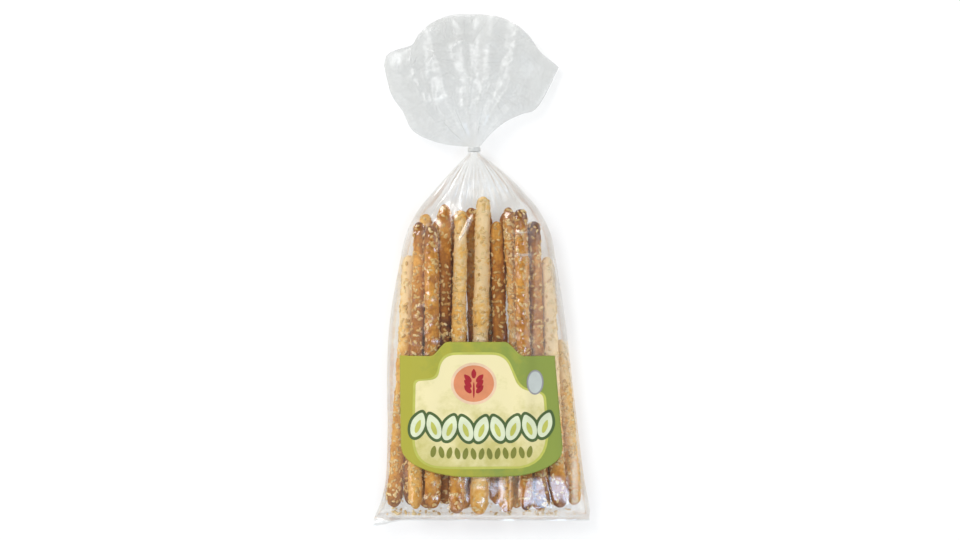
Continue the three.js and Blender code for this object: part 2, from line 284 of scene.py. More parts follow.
def along_table(table, place):
    """Rows of values at places along the table's first column, on smooth curves."""
    place = np.clip(place, table[0, 0], table[-1, 0])
    row, most = np.searchsorted(table[:, 0], place).clip(1), len(table) - 1
    first, before, after, last = (table[np.clip(row + step, 0, most)] for step in (-2, -1, 0, 1))
    span = after[..., :1] - before[..., :1]
    t = (place[..., None] - before[..., :1]) / span
    low, high = before[..., 1:], after[..., 1:]
    slope_in = (high - first[..., 1:]) / (after[..., :1] - first[..., :1]) * span
    slope_out = (last[..., 1:] - low) / (last[..., :1] - before[..., :1]) * span
    bend = t * (2 * (low - high) + slope_in + slope_out)
    cubic = low + t * (slope_in + t * (3 * (high - low) - 2 * slope_in - slope_out + bend))
    return np.clip(cubic, np.minimum(low, high), np.maximum(low, high))


def zigzag(v, folds, seed):
    """Uneven folds between -1 and 1 across the film, straight from each to the next."""
    draw = np.random.default_rng(seed)
    ends = np.arange(folds + 1)
    shift = draw.uniform(-0.35, 0.35, folds + 1)
    shift[[0, -1]] = 0
    return np.interp(v, (ends + shift) / folds, draw.uniform(0.35, 1, folds + 1) * (-1.0) ** ends)


def along_polyline(curve, places):
    reach = np.concatenate([[0], np.cumsum(np.linalg.norm(np.diff(curve, axis=0), axis=1))])
    return np.stack([np.interp(places * reach[-1], reach, axis) for axis in curve.T], -1)


def smooth_path(points, places):
    """Points at shares of the length of a smooth curve through a few points."""
    points = np.array(points)
    spans = np.linalg.norm(np.diff(points, axis=0), axis=1) ** 0.5
    knots = np.concatenate([[0], np.cumsum(spans)])
    curve = along_table(np.column_stack([knots, points]), np.linspace(0, knots[-1], 400))
    return along_polyline(curve, places)


# ---- Meshes ----

def mesh_object(name, points, material, *face_groups, **attributes):
    """A smooth object from points in millimetres, groups of faces, and values at its points."""
    mesh = bpy.data.meshes.new(name)
    faces = [face for group in face_groups for face in np.asarray(group).tolist()]
    mesh.from_pydata((np.asarray(points) * MM).tolist(), [], faces)
    mesh.shade_smooth()
    mesh.materials.append(material)
    for attribute, values in attributes.items():
        layer = mesh.attributes.new(attribute, "FLOAT", "POINT")
        layer.data.foreach_set("value", np.asarray(values, np.float32).ravel())
    piece = bpy.data.objects.new(name, mesh)
    bpy.context.scene.collection.objects.link(piece)
    return piece


def grid_faces(rows, columns, start=0):
    """Quads of a grid of points, row by row, with its last column joined to its first."""
    row, column = np.mgrid[:rows - 1, :columns]
    beside = (column + 1) % columns
    low, high = start + row * columns, start + (row + 1) * columns
    return np.stack([low + column, low + beside, high + beside, high + column], -1).reshape(-1, 4)


def tube_faces(rows, columns):
    """Quads of a closed grid of points, and triangles to the two tips that come after them."""
    ring = np.arange(columns)
    after = (ring + 1) % columns
    tip = np.full(columns, rows * columns)
    last = tip - columns
    return (grid_faces(rows, columns), np.stack([ring, tip, after], -1),
            np.stack([last + ring, last + after, tip + 1], -1))


# ---- Materials ----

class Shading:
    """The nodes of a material or a world. Sockets take values, or other nodes' outputs."""

    def __init__(self, owner, surface):
        owner.use_nodes = True
        self.owner = owner
        self.tree = owner.node_tree
        self.surface = self.tree.nodes[surface]

    def feed(self, node, sockets):
        for socket, value in sockets.items():
            if isinstance(value, bpy.types.NodeSocket):
                self.tree.links.new(value, node.inputs[socket])
            else:
                node.inputs[socket].default_value = value

    def node(self, kind, sockets=None, **settings):
        node = self.tree.nodes.new(f"ShaderNode{kind}")
        for name, value in settings.items():
            setattr(node, name, value)
        self.feed(node, sockets or {})
        return node

    def math(self, operation, *values):
        return self.node("Math", dict(enumerate(values)), operation=operation).outputs[0]

    def noise(self, scale, detail=3.0, rough=0.55):
        """Noise between 0 and 1 in the row frame. Its scale is in cells to a millimetre."""
        place = self.node("TexCoord").outputs["Object"]
        sockets = {"Vector": place, "Scale": scale / MM, "Detail": detail, "Roughness": rough}
        return self.node("TexNoise", sockets).outputs["Fac"]

    def axes(self, space):
        return self.node("SeparateXYZ", {0: self.node("TexCoord").outputs[space]}).outputs

    def attribute(self, name):
        return self.node("Attribute", attribute_name=name).outputs["Fac"]

    def ramp(self, level, stops):
        """A colour that goes through stops of place and colour as the level rises."""
        node = self.node("ValToRGB", {"Fac": level})
        elements = node.color_ramp.elements
        while len(elements) < len(stops):
            elements.new(0.5)
        for element, (place, colour) in zip(elements, stops):
            element.position = place
            element.color = (*colour, 1)
        return node.outputs["Color"]

    def bump(self, height, strength, distance):
        sockets = {"Strength": strength, "Distance": distance * MM, "Height": height}
        return self.node("Bump", sockets).outputs["Normal"]

    def paint(self, colour, rough, specular, normal):
        self.feed(self.surface, {
            "Base Color": colour, "Roughness": rough, "Specular IOR Level": specular, "Normal": normal,
        })
        return self.owner


def new_material(name):
    return Shading(bpy.data.materials.new(name), "Principled BSDF")


def bread_material():
    """Baked crust: its browning, partly painted light and shade, is worked out on the mesh, and
    broken up by finer noise here.
    """
    crust = new_material("bread_crust")
    patches, grain = crust.noise(0.35, 4, 0.65), crust.noise(1.6, 3, 0.6)
    patchy = crust.math("MULTIPLY_ADD", patches, 0.7, crust.attribute("toast"))
    brown_and_painted_light = crust.math("MULTIPLY_ADD", grain, 0.35, patchy)
    colour = crust.ramp(crust.math("SUBTRACT", brown_and_painted_light, 0.525), [
        (0.00, (1.0, 0.76, 0.42)), (0.18, (0.95, 0.58, 0.15)), (0.38, (0.80, 0.39, 0.055)),
        (0.62, (0.51, 0.185, 0.014)), (1.00, (0.15, 0.042, 0.006)),
    ])
    return crust.paint(colour, rough=0.72, specular=0.3, normal=crust.bump(grain, 0.6, 0.35))


def seed_material():
    seed = new_material("sesame_seed")
    colour = seed.ramp(seed.attribute("shade"), [
        (0.0, (0.54, 0.29, 0.07)), (0.35, (0.80, 0.53, 0.18)), (1.0, (0.97, 0.80, 0.44)),
    ])
    normal = seed.bump(seed.noise(2.5, 2), 0.3, 0.1)
    return seed.paint(colour, rough=0.5, specular=0.4, normal=normal)


def film_material(name, tint, haze, rough, shine):
    """Clear film: it lets light through, veils it a little, and reflects on both faces."""
    film = new_material(name)
    film.feed(film.surface, {
        "Base Color": (0.60, 0.60, 0.585, 1), "Roughness": 0.6, "Specular IOR Level": 0.2,
    })
    clear = film.node("BsdfTransparent", {"Color": (*tint, 1)})
    # The crease attribute veils the film: partly the real whitening of creased film, partly painted
    # glints, a painted glare and painted shade.
    white = film.math("MULTIPLY", film.attribute("crease"), CREASE_VEIL_AND_PAINTED_GLINT)
    cloudy = film.math("MULTIPLY_ADD", film.noise(0.045, 3, 0.6), haze, white)
    veil = film.node("MixShader", {0: cloudy, 1: clear.outputs[0], 2: film.surface.outputs[0]})
    gloss = film.node("BsdfGlossy", {
        "Color": (1, 1, 1, 1), "Roughness": rough,
        "Normal": film.bump(film.noise(0.16, 2, 0.5), 0.4, 0.4),
    })
    facing = film.node("Fresnel", {"IOR": 1.5}).outputs[0]
    both_faces = film.math("MULTIPLY", facing, 2.0 * shine)
    reflected = film.math("MINIMUM", both_faces, MOST_REFLECTED * shine)
    whole = film.node("MixShader", {0: reflected, 1: veil.outputs[0], 2: gloss.outputs[0]})
    film.feed(film.tree.nodes["Material Output"], {"Surface": whole.outputs[0]})
    return film.owner


def ink_material(name, colour, far_colour=None, axis="X", middle=0.0):
    """Printed paper with a fine tooth: its colour is slightly uneven, or shades along an axis."""
    ink = new_material(name)
    level = ink.noise(0.09, 4, 0.6)
    ends = [np.multiply(colour, share) for share in (0.9, 1.1)]
    if far_colour:
        reach = ink.math("SUBTRACT", ink.axes("Object")[axis], middle * MM)
        level = ink.math("MULTIPLY_ADD", reach, 8.0, level)
        ends = [colour, far_colour]
    colour = ink.ramp(level, list(zip((0.3, 0.7), ends)))
    return ink.paint(colour, rough=0.45, specular=0.2, normal=ink.bump(ink.noise(3.0, 2), 0.15, 0.05))


def band_material():
    band = new_material("tie_band")
    streak = band.noise(0.9, 2)
    colour = band.ramp(streak, [(0.3, (0.50, 0.51, 0.50)), (0.7, (0.66, 0.67, 0.66))])
    return band.paint(colour, rough=0.35, specular=0.5, normal=band.bump(streak, 0.3, 0.2))


def floor_material():
    """A white sweep, lit through a little, so that shadows on it stay faint."""
    floor = new_material("floor")
    cloud = floor.noise(0.004, 2)
    floor.feed(floor.surface, {
        "Base Color": floor.ramp(cloud, [(0.3, (0.49, 0.49, 0.49)), (0.7, (0.51, 0.51, 0.51))]),
        "Emission Color": (1, 1, 1, 1), "Emission Strength": 0.48, "Roughness": 0.9,
    })
    return floor.owner


# ---- Camera, lights and floor ----

def set_camera():
    camera = bpy.data.cameras.new("camera")
    camera.sensor_width = SENSOR
    camera.lens = SENSOR * CAMERA_DISTANCE / (FRAME_PIXELS[0] * MM_PER_PIXEL)
    camera.clip_end = 20
    holder = bpy.data.objects.new("camera", camera)
    holder.location = (VIEW_CENTRE[0] * MM, VIEW_CENTRE[1] * MM, (VIEW_PLANE + CAMERA_DISTANCE) * MM)
    bpy.context.scene.collection.objects.link(holder)
    bpy.context.scene.camera = holder


def area_light(name, place, size, power, colour):
    lamp = bpy.data.lights.new(name, "AREA")
    lamp.shape = "RECTANGLE"
    lamp.size, lamp.size_y = size
    lamp.energy = power
    lamp.color = colour
    holder = bpy.data.objects.new(name, lamp)
    bpy.context.scene.collection.objects.link(holder)
    holder.location = place
    east, north, up = place
    yaw = math.atan2(-north, -east)
    holder.rotation_euler = (math.atan2(math.hypot(east, north), up), 0, yaw - math.pi / 2)


def set_world():
    """A studio that is bright low down, and dark overhead round the camera."""
    world = bpy.data.worlds.new("studio")
    bpy.context.scene.world = world
    sky = Shading(world, "Background")
    sky.feed(sky.surface, {"Color": sky.ramp(sky.axes("Generated")["Z"], [
        (0.0, (0.63, 0.61, 0.56)), (0.45, (0.81, 0.78, 0.71)),
        (0.85, (0.20, 0.20, 0.20)), (0.97, (0.05, 0.05, 0.05)),
    ])})


def set_stage():
    bpy.context.scene.view_settings.view_transform = "Standard"
    set_world()
    for lamp in LAMPS:
        area_light(*lamp)
    corners = [(x * FLOOR_REACH, y * FLOOR_REACH, 0) for x, y in ((-1, -1), (1, -1), (1, 1), (-1, 1))]
    floor = mesh_object("floor", corners, floor_material(), [(0, 1, 2, 3)])
    floor.location.z = -FLOOR_DROP * MM


# ---- Settling the breadsticks ----

def bag_sides(y):
    half, middle = np.moveaxis(along_table(SECTIONS, y)[..., :2], -1, 0)
    return half, middle


def at(ends, which, share):
    """Values at shares of the length of some breadsticks, from those at both their ends."""
    return lerp(ends[which, :1], ends[which, 1:], share)


def move(ends, which, push, share):
    """Moves both ends of some breadsticks by what pushes them at shares of their length."""
    np.add.at(ends[:, 0], which, (push * (1 - share)).sum(1) / 3)
    np.add.at(ends[:, 1], which, (push * share).sum(1) / 3)


def settle(x, y, z, radius, aims, pull):
    """Lets straight breadsticks sink to the table and push each other apart, at both ends' x and
    z. Each is drawn sideways, by its own pull, towards the place where it shows."""
    everyone = np.arange(len(radius))
    pair = first, second = np.triu_indices(len(radius), 1)
    low = np.maximum(y[first, 0], y[second, 0])[:, None]
    high = np.minimum(y[first, 1], y[second, 1])[:, None]
    stations = lerp(low, high, np.linspace(0, 1, 14))
    shares = [(stations - y[which, :1]) / (y[which, 1:] - y[which, :1]) for which in pair]
    touch = sum(at(radius, which, share) for which, share in zip(pair, shares))
    own = np.linspace(0, 1, 10)
    half, middle = bag_sides(at(y, everyone, own))
    thick = at(radius, everyone, own)
    room = half - thick - SIDE_GAP
    for step in range(SETTLE_STEPS):
        z -= SINK * max(0, 1 - step / (0.8 * SETTLE_STEPS))
        x += (aims - x) * pull[:, None] * max(0, 1 - step / (0.9 * SETTLE_STEPS))
        for _ in range(SETTLE_PASSES):
            apart = [at(ends, first, shares[0]) - at(ends, second, shares[1]) for ends in (x, z)]
            distance = np.hypot(*apart) + 1e-9
            overlap = np.maximum(0, touch - distance) / distance * PUSH
            for ends, way in zip((x, z), apart):
                move(ends, first, overlap * way, shares[0])
                move(ends, second, -overlap * way, shares[1])
            move(z, everyone, np.maximum(0, thick + TABLE_GAP - at(z, everyone, own)), own)
            offset = at(x, everyone, own) - middle
            inward = np.maximum(0, -offset - room) - np.maximum(0, offset - room)
            move(x, everyone, inward, own)
    return x, z


def place_sticks():
    """The settled breadsticks, front row first, each with its two tips and its own look."""
    table = np.array(FRONT_STICKS + BACK_STICKS)
    x, y, radius = table[:, 0:2].copy(), table[:, 2:4], table[:, [4, 7]] / 2
    pull = np.repeat([FRONT_PULL, BACK_PULL], [len(FRONT_STICKS), len(BACK_STICKS)])
    x, z = settle(x, y, table[:, 5:7] - radius, radius, table[:, 0:2], pull)
    return [SimpleNamespace(
        index=i, radius=radius[i], brown_and_painted_light=table[i, 8:12], tip=table[i, 12],
        ends=np.stack([x[i], y[i], z[i]], -1),
    ) for i in range(len(table))]


# ---- Breadsticks and seeds ----

def stick_profile(stick, length, draw):
    """Places along a breadstick, close together at its round tips, and its girth there as a share
    of its radius."""
    caps = draw.uniform(1.0, 1.7, 2) * stick.radius
    angle = np.linspace(0, math.pi / 2, CAP_ROWS + 1)[1:]
    low_cap = caps[0] * (1 - np.cos(angle))
    high_cap = length - caps[1] * (1 - np.cos(angle[::-1]))
    body = np.linspace(low_cap[-1], high_cap[0], STICK_ROWS)[1:-1]
    place = np.concatenate([low_cap, body, high_cap])
    girth = np.concatenate([np.sin(angle), np.ones(len(body)), np.sin(angle[::-1])]) ** 0.85
    low, high = draw.uniform(0.02, 0.16, 2)
    girth *= 1 - low * np.exp(-place / TIP_LENGTH) - high * np.exp((place - length) / TIP_LENGTH)
    return place, girth


def crust(own):
    """Relief of the crust, and how much browner it is, at points in the breadstick's own space."""
    broad, lump, pimple = noise(own / 17, 1), noise(own / 6.5, 2), noise(own / 2.6, 3)
    crack = np.exp(-(noise(own / 8, 4) / 0.05) ** 2) * smoothstep(noise(own / 20, 5), 0.0, 0.5)
    relief = 0.7 * broad + 0.42 * lump + 0.2 * pimple - 0.5 * crack
    return relief, 0.16 * broad + 0.13 * lump + 0.22 * crack - 0.05 * pimple


def stick_skin(stick):
    """The skin of one breadstick as a grid of points, its rows along it, its browning with painted
    light and shade, and its two tips."""
    draw = np.random.default_rng(100 + stick.index)
    start, end = stick.ends
    length = np.linalg.norm(end - start)
    along = unit(end - start)
    side = unit(np.cross(along, (0, 0, 1)))
    up = np.cross(side, along)
    place, girth = stick_profile(stick, length, draw)
    t = place / length
    bow, twist, phase = draw.uniform(-0.9, 0.9, 3)
    sway = bow * np.sin(math.pi * t) + twist * 0.6 * np.sin(TURN * t + phase * 4)
    heave = 0.25 * phase * np.sin(3 * math.pi * t)
    centre = start + place[:, None] * along + sway[:, None] * side + heave[:, None] * up
    around = np.arange(STICK_COLUMNS) * TURN / STICK_COLUMNS
    squash = draw.uniform(0.93, 1.0)
    roll = draw.uniform(0, math.pi)
    oval = 1 - (1 - squash) * np.cos(around - roll) ** 2
    round_x, round_z = np.cos(around), np.sin(around)
    outward = round_x[:, None] * side + round_z[:, None] * up
    thick, girth = lerp(*stick.radius, t)[:, None], girth[:, None]
    own = np.broadcast_arrays(round_x * thick, place[:, None], round_z * thick)
    relief, browner = crust(np.stack(own, -1) + 40 * stick.index)
    radius = thick * girth * oval + relief * np.minimum(1, girth * 1.2) - SKIN_DEPTH
    points = centre[:, None] + np.maximum(radius, 0.05)[..., None] * outward
    # Browning along the breadstick: partly the crust's own, partly painted light and shade.
    baked_and_painted_light = np.interp(t, BROWN_PLACES, stick.brown_and_painted_light)
    baked_and_painted_light += stick.tip * np.exp((place - length) / TIP_LENGTH)
    baked_and_painted_light += BROWN_SEAL_TIP * np.exp(-place / SEAL_TIP_LENGTH)
    tips = np.stack([centre[0] - 0.02 * along, centre[-1] + 0.02 * along])
    return points, baked_and_painted_light[:, None] + browner, tips


def make_stick(stick, material):
    points, toast, tips = stick_skin(stick)
    stick.skin = points
    everything = np.concatenate([points.reshape(-1, 3), tips])
    toast = np.concatenate([toast.ravel(), toast[0, :1], toast[-1, :1]])
    faces = tube_faces(*points.shape[:2])
    return mesh_object(f"stick_{stick.index + 1:02d}", everything, material, *faces, toast=toast)


def seed_form():
    """A sesame seed's points and triangles: a flat drop, one unit long, wide and thick."""
    points = [(place, girth * math.cos(turn), girth * math.sin(turn))
              for place, girth in ((-0.34, 0.31), (0, 0.5), (0.34, 0.39))
              for turn in np.arange(6) * TURN / 6]
    quads, *fans = tube_faces(3, 6)
    faces = np.concatenate([quads[:, :3], quads[:, [0, 2, 3]], *fans])[:, ::-1]
    return np.array([*points, (-0.5, 0, 0), (0.5, 0, 0)]), faces


def seed_mesh(name, points, attribute, values, material):
    """One mesh of many seeds, or of bits with their form, from the points and a value of each."""
    _, faces = seed_form()
    each = points.shape[1]
    starts = np.arange(len(points)) * each
    triangles = (faces[None] + starts[:, None, None]).reshape(-1, 3)
    values = {attribute: np.repeat(values, each)}
    return mesh_object(name, points.reshape(-1, 3), material, triangles, **values)


def seeds_on(stick, count, draw):
    """Points of the seeds that lie on one breadstick's skin, and each one's shade."""
    skin = stick.skin
    rows, columns = skin.shape[:2]
    row = draw.uniform(3, rows - 4, count)
    column = draw.uniform(0, columns, count)
    i, j = row.astype(int), column.astype(int)
    here = skin[i, j % columns]
    ahead = skin[i + 1, j % columns] - here
    beside = skin[i, (j + 1) % columns] - here
    place = here + ahead * (row - i)[:, None] + beside * (column - j)[:, None]
    out, ahead = unit(np.cross(ahead, beside)), unit(ahead)
    sideways = np.cross(out, ahead)
    angle = draw.uniform(0, TURN, count)[:, None]
    long_way = ahead * np.cos(angle) + sideways * np.sin(angle)
    wide_way = np.cross(out, long_way)
    size = draw.uniform(0.82, 1.12, (count, 1)) * np.array(SEED_SIZE)
    tilt = draw.normal(0, 0.12, (count, 1))
    long_way, out = long_way + tilt * out, out - tilt * long_way
    parts = seed_form()[0] * size[:, None, :]
    axes = np.stack([long_way, wide_way, out], 1)
    points = (place + 0.12 * out)[:, None] + parts @ axes
    return points, np.clip(draw.normal(0.62, 0.22, count) - 0.5 * stick.brown_and_painted_light.mean(), 0, 1)


def make_seeds(name, sticks, material, seed):
    draw = np.random.default_rng(seed)
    found = [seeds_on(stick, SEEDS_PER_STICK, draw) for stick in sticks]
    points, shades = (np.concatenate(part) for part in zip(*found))
    return seed_mesh(name, points, "shade", shades, material), points.reshape(-1, 3)


def loose_places(sticks, count, draw):
    """Places on the back film, most of them by the seal, that no breadstick covers."""
    x = draw.uniform(-62, 62, 6 * count)
    y = -160.4 + draw.exponential(3.0, 6 * count)
    place = np.stack([x, y, form_heights(x, y)[1] + 0.9], -1)
    half, middle = bag_sides(y)
    clear = np.abs(x - middle) < half - 4
    for stick in sticks:
        start, end = stick.ends
        length = np.linalg.norm(end - start)
        share = np.clip((place - start) @ (end - start) / length ** 2, 4 / length, 1 - 4 / length)
        gap = np.linalg.norm(place - lerp(start, end, share[:, None]), axis=1)
        clear &= gap > lerp(*stick.radius, share) + 0.7
    return place[clear][:count]


def make_loose_bits(name, places, size, rough, attribute, shades, material, draw):
    """Crumbs or seeds that lie flat at some places, as one mesh."""
    count = len(places)
    parts = seed_form()[0] * size * draw.uniform(0.6, 1.15, (count, 1, 1))
    parts = parts * (1 + rough * draw.normal(size=parts.shape))
    x, y = rotated(parts[..., 0], parts[..., 1], draw.uniform(0, TURN, (count, 1)))
    points = places[:, None] + np.stack([x, y, parts[..., 2]], -1)
    return seed_mesh(name, points, attribute, draw.uniform(*shades, count), material)


# ---- The film over the breadsticks ----

def across(v):
    return lerp(-np.cos(math.pi * v), 2 * v - 1, 0.65)


def ridges(x, y, blanket):
    """How far the breadsticks lift the front film above the blanket that spans them."""
    total = np.ones(np.broadcast(x, y).shape)
    for low, high, start, end, diameter, top_low, top_high, *_ in FRONT_STICKS:
        share = (y - start) / (end - start)
        offset = (x - lerp(low, high, share)) / diameter
        past = np.maximum(0, np.maximum(start - y, y - end) / RIDGE_TIP + 1)
        height = lerp(top_low, top_high, share) - RIDGE_CURVE * offset ** 2 - RIDGE_DROP * past ** 2
        total += np.exp((height - blanket) / RIDGE_BLEND)
    return RIDGE_BLEND * np.log(total)


def form_heights(x, y):
    """Heights of the solid's front film and of its back film."""
    half, middle, crest, side, under, squareness = np.moveaxis(along_table(SECTIONS, y), -1, 0)
    s = np.clip(np.abs(x - middle) / half, 0, 1)
    v = (x - middle) / half / 2 + 0.5
    crown = (1 - s ** squareness) ** lerp(1, 0.5, smoothstep(y, 50, NECK_START))
    gather = smoothstep(y, 12, 50) * np.clip((half - NECK_RADIUS) / 14, 0, 1)
    pleats = SHOULDER_PLEAT * gather * np.cos(TURN * PLEATS * v) * crown
    blanket = side + (crest - side) * crown
    front = blanket + ridges(x, y, blanket) * crown ** 0.5 + pleats
    depth = (1 - s ** (2 + 8 * (1 - smoothstep(y, 20, NECK_START)))) ** 0.5
    flatness = 1.5 * (1 - smoothstep(y, 30, 50))
    back = np.maximum(under, side - (side - under + flatness) * depth) + 0.5 * np.abs(pleats)
    return np.maximum(front, side), np.minimum(back, side)


def on_grid(x, y):
    """Columns and rows of the grid, with fractions, at places over the plane."""
    return (x - GRID_X[0]) / GRID_STEP[0], (y - GRID_Y[0]) / GRID_STEP[1]


def highest_inside(points):
    """The height of what lies in the bag over each cell of the grid, and 0 where nothing does."""
    column, row = (np.rint(place).astype(int) for place in on_grid(points[:, 0], points[:, 1]))
    inside = (row >= 0) & (row < len(GRID_Y))
    heights = np.zeros((len(GRID_Y), len(GRID_X)))
    np.maximum.at(heights, (row[inside], column[inside]), points[inside, 2])
    padded = np.pad(heights, 1)
    rows, columns = heights.shape
    return np.max([padded[i:i + rows, j:j + columns] for i in range(3) for j in range(3)], axis=0)


def slack_corner(x, y):
    """1 where the film spans the breadsticks in one loose, leaning bulge, at the right corner."""
    return between(x, (17, 27), (57, 63)) * between(y, (-159.5, -154), (-134, -112))


def corner_bulge(x, y):
    """Heights of the film in that bulge, with its grooves."""
    east, north = x - CORNER[0], y - CORNER[1]
    bulge = CORNER[2] - 0.06 * east + 0.08 * north - (east ** 2 + north ** 2) / CORNER_CURVE
    for place, lean in CORNER_GROOVES:
        bulge -= GROOVE_DEPTH * np.exp(-((x - place - lean * north) / GROOVE_WIDTH) ** 2)
    return bulge


def drape(points):
    """Heights of the front film on the grid: pulled taut over what lies in the bag."""
    x, y = np.meshgrid(GRID_X, GRID_Y)
    form, _ = form_heights(x, y)
    half, middle = bag_sides(y)
    free = (np.abs(x - middle) < 0.97 * half) & (y > -159) & (y < 58)
    floor = np.where(free, np.maximum(highest_inside(points) + FILM_GAP, form - FILM_SINK), form)
    ceiling = np.where(free, np.maximum(form + FILM_RISE, floor), form)
    film = form.copy()
    for _ in range(DRAPE_STEPS):
        wide = np.pad(film, 1, mode="edge")
        beside = (wide[1:-1, :-2] + wide[1:-1, 2:]) / 2
        along = (wide[:-2, 1:-1] + wide[2:, 1:-1]) / 2
        pulled = TAUT_ACROSS * beside + (1 - TAUT_ACROSS) * along - FILM_SAG
        film = np.clip(pulled, floor, ceiling)
    film = lerp(film, corner_bulge(x, y), slack_corner(x, y))
    return lerp(film, blurred(film), in_label(x, y, 5))


def blurred(film):
    """The film where paper stiffens it: the same heights with their small bumps smoothed out."""
    for axis, span in ((0, 9), (1, 5)):
        weights = np.hanning(2 * span + 1)
        weights /= weights.sum()
        wide = np.pad(film, [(span, span) if i == axis else (0, 0) for i in (0, 1)], mode="edge")
        film = np.apply_along_axis(np.convolve, axis, wide, weights, "valid")
    return film


def sample(film, x, y):
    column, row = on_grid(x, y)
    column, row = np.clip(column, 0, len(GRID_X) - 1.001), np.clip(row, 0, len(GRID_Y) - 1.001)
    i, j = row.astype(int), column.astype(int)
    low = lerp(film[i, j], film[i, j + 1], column - j)
    high = lerp(film[i + 1, j], film[i + 1, j + 1], column - j)
    return lerp(low, high, row - i)


def crease(x, y, middle, angle, length, width, height):
    """One sharp, slightly bent ridge in the film, as a relief over the plane."""
    u, w = rotated(x - middle[0], y - middle[1], -math.radians(angle))
    w = w + 0.04 * u ** 2 / length
    return height * np.clip(1 - (2 * u / length) ** 2, 0, 1) ** 1.5 * np.exp(-np.abs(w) / width)


def tail_creases(x, y):
    return sum(crease(x, y, *each) for each in TAIL_CREASES)


def creases(x, y):
    """The filled part's creases: those that show best, and others at random."""
    relief = sum(crease(x, y, *each) for each in CREASES)
    draw = np.random.default_rng(7)
    for _ in range(LOOSE_CREASES):
        middle = draw.uniform((-50, -155), (50, 45))
        steep = draw.uniform() < 0.6
        angle = draw.normal(90, 12) if steep else draw.normal(0, 25)
        length = draw.uniform(18, 46) if steep else draw.uniform(8, 18)
        relief += crease(x, y, middle, angle, length, draw.uniform(0.7, 1.3), draw.uniform(0.15, 0.5))
    return relief


def tents(x, y, low, high, count, seed):
    """Short flat-sided ridges at random in the film, with their middles between two corners, and
    the lines of their crests."""
    draw = np.random.default_rng(seed)
    relief = np.zeros(np.broadcast(x, y).shape)
    lines = relief.copy()
    for _ in range(count):
        middle = draw.uniform(low, high)
        u, w = rotated(x - middle[0], y - middle[1], -draw.uniform(0, math.pi))
        length, width = draw.uniform(7, 28), draw.uniform(1.8, 5.5)
        fade = np.clip(1.6 * (1 - np.abs(2 * u / length)), 0, 1)
        steep = draw.uniform(0.06, 0.18)
        relief += steep * width * fade * np.clip(1 - np.abs(w) / width, 0, 1)
        lines = np.maximum(lines, 4 * steep * fade * np.clip(1 - np.abs(w) / 0.8, 0, 1))
    return relief, lines


def two_layers(front, back):
    """Shares of the width at the points of the front layer and, on the way back, of the back one."""
    return np.linspace(0, 1, front)[None], np.linspace(1, 0, back)[None, 1:-1]


def film_piece(name, points, veil, material):
    """A sleeve of film from rows of points round it, each with how far it veils what it covers."""
    faces = grid_faces(*points.shape[:2])
    piece = mesh_object(name, points.reshape(-1, 3), material, faces, crease=veil)
    piece.data.set_sharp_from_angle(angle=SHARP_ANGLE)
    return piece


def front_film(film, x, y, v):
    """Heights of the filled part's front film, and how far it veils what it covers."""
    half, middle, _, side = np.moveaxis(along_table(SECTIONS, y)[..., :4], -1, 0)
    flat = lerp(sample(film, x, y), form_heights(x, y)[0], smoothstep(y, 42, 58))
    bare = 1 - in_label(x, y, 4)
    rim = np.clip((flat - side) / 4, 0, 1)
    gather = smoothstep(y, 30, 70) * np.clip((half - 2) / 14, 0, 1)
    fine = gather * (0.7 * zigzag(v, 15, 5) + 0.35 * zigzag(v, 37, 6))
    sharp = creases(x, y)
    corner, _ = tents(x, y, (18, -163), (66, -138), 16, 8)
    root, _ = tents(x, y, (-68, -162), (68, -156), 34, 9)
    ripple = 0.22 * flat_noise(x, y * 0.5, 7, 21)
    loose = 1 - 0.88 * slack_corner(x, y)
    height = flat + rim * (bare * (loose * (sharp + corner + ripple) + root) + fine)
    # Sharp creases veil the film pale: partly the real whitening of creased film, partly painted
    # glints.
    lines = np.clip(1.1 * sharp - 0.35, 0, 1) * bare * rim
    # A painted glare: more veil over the right flank, standing in for a lamp's reflection on the film
    # there.
    painted_flank_glare = between(x, (38, 45), (46, 52)) * between(y, (-75, -40), (10, 50))
    # Along the right side fold, the veil is partly the thicker folded film and partly painted shade.
    fold_and_painted_shade = between(middle + half - x, (0.2, 1.2), (2.5, 5.5)) * between(y, (-80, -50), (-5, 20))
    return height, np.maximum(lines, 0.28 * painted_flank_glare * bare + 0.5 * fold_and_painted_shade) + 0.14 * gather


def make_body_film(film, material):
    """The filled part of the bag: a front and a back layer that meet in the side folds."""
    end_face = np.linspace(SEAL_ROOT, -154, 16)
    shoulder = np.linspace(60, NECK_END, 34)
    y = np.concatenate([end_face, np.arange(-153.4, 60, BODY_STEP), shoulder])[:, None]
    half, middle = bag_sides(y)
    front_v, back_v = two_layers(*BODY_COLUMNS)
    front_x, back_x = middle + half * across(front_v), middle + half * across(back_v)
    front_z, front_veil = front_film(film, front_x, y, front_v)
    _, back_z = form_heights(back_x, y)
    off_table = np.clip(back_z - 0.05, 0, 1)
    back_z = np.maximum(0.02, back_z + 0.3 * off_table * flat_noise(back_x, y, 5, 22))
    x = np.concatenate([front_x, back_x], axis=1)
    z = np.concatenate([front_z, back_z], axis=1)
    points = np.stack([x, np.broadcast_to(y, x.shape), z], -1)
    weld = [weld_ring(points[0], share) for share in (1, 0.66, 0.33)]
    points = np.concatenate([np.stack(weld), points])
    veil = np.zeros(points.shape[:2])
    veil[len(weld):, :front_v.size] = front_veil
    return film_piece("bag_film", points, veil, material)


